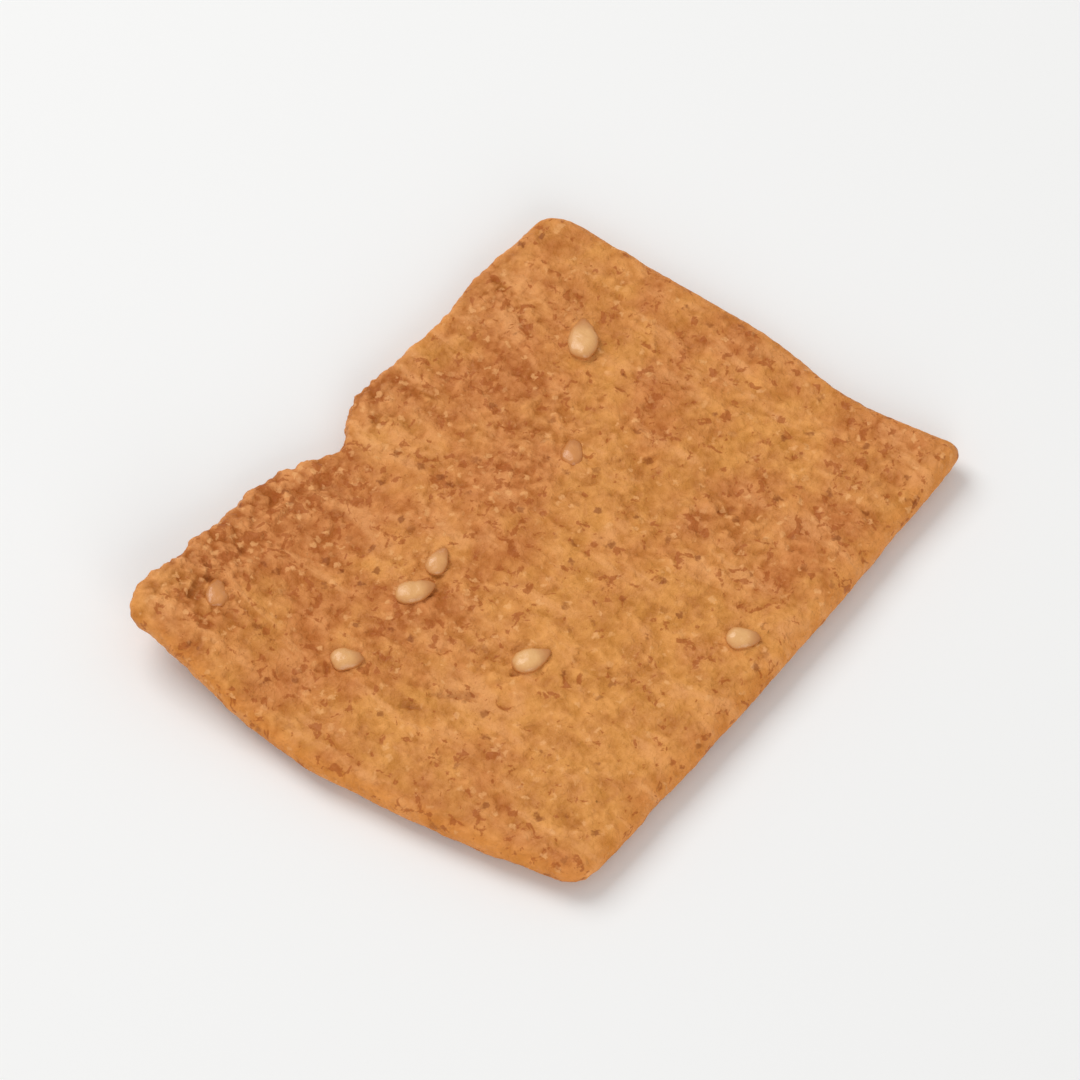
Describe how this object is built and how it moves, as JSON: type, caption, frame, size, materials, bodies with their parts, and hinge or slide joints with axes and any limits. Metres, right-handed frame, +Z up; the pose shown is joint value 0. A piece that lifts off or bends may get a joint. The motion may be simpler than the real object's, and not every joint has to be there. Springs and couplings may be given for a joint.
{
  "type": "pita chip",
  "caption": "Square-cut baked pita chip with a bowed front edge, a torn left edge, a curled corner and sesame seeds pressed into its upper face.",
  "frame": {"origin": "on the surface that the chip rests on, under the middle of its bounding box", "axes": "+Z up out of the seeded face, +Y along the chip's longer side away from the bowed front edge, +X along the front edge towards the square corner"},
  "size_m": [0.0402, 0.0498, 0.0054],
  "materials": {
    "baked_crust": "matte",
    "sesame_seed": "satin"
  },
  "bodies": {
    "root": {"pita_chip": "baked_crust"}
  },
  "joints": []
}
